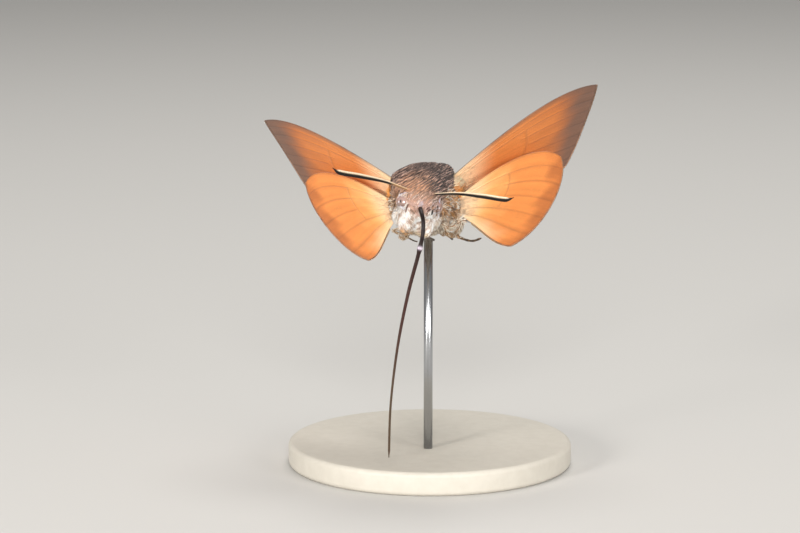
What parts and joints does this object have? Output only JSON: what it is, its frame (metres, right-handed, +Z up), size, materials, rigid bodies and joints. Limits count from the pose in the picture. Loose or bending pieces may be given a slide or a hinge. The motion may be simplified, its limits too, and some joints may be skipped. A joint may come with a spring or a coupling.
{
  "type": "hummingbird hawk moth",
  "caption": "Life-size model of a hovering hummingbird hawk moth with raised orange wings and its long tongue let down, held over a round base by a short rod.",
  "frame": {"origin": "centre of the flat underside of the stand's round base", "axes": "+Z up; the moth faces -Y, turned a little to its own right, and its own left side is +X"},
  "size_m": [0.0345, 0.0342, 0.0386],
  "materials": {
    "head_fur": "matte",
    "thorax_fur": "matte",
    "abdomen_fur": "matte",
    "tail_scales": "matte",
    "palp_scales": "matte",
    "eye": "gloss",
    "antenna_scales": "satin",
    "proboscis": "gloss",
    "forewing_scales": "matte",
    "hindwing_scales": "matte",
    "leg": "matte",
    "stand_base": "satin",
    "stand_rod": "polished"
  },
  "bodies": {
    "root": {"head": "head_fur", "eye_left": "eye", "eye_right": "eye", "antenna_left": "antenna_scales", "antenna_right": "antenna_scales", "palp_left": "palp_scales", "palp_right": "palp_scales", "proboscis_base": "proboscis", "proboscis_shaft": "proboscis", "proboscis_tip": "proboscis", "thorax": "thorax_fur", "abdomen": "abdomen_fur", "tail_fan": "tail_scales", "forewing_left": "forewing_scales", "forewing_right": "forewing_scales", "hindwing_left": "hindwing_scales", "hindwing_right": "hindwing_scales", "foreleg_left": "leg", "foreleg_right": "leg", "midleg_left": "leg", "midleg_right": "leg", "hindleg_left": "leg", "hindleg_right": "leg", "stand_base": "stand_base", "stand_rod": "stand_rod"}
  },
  "joints": []
}
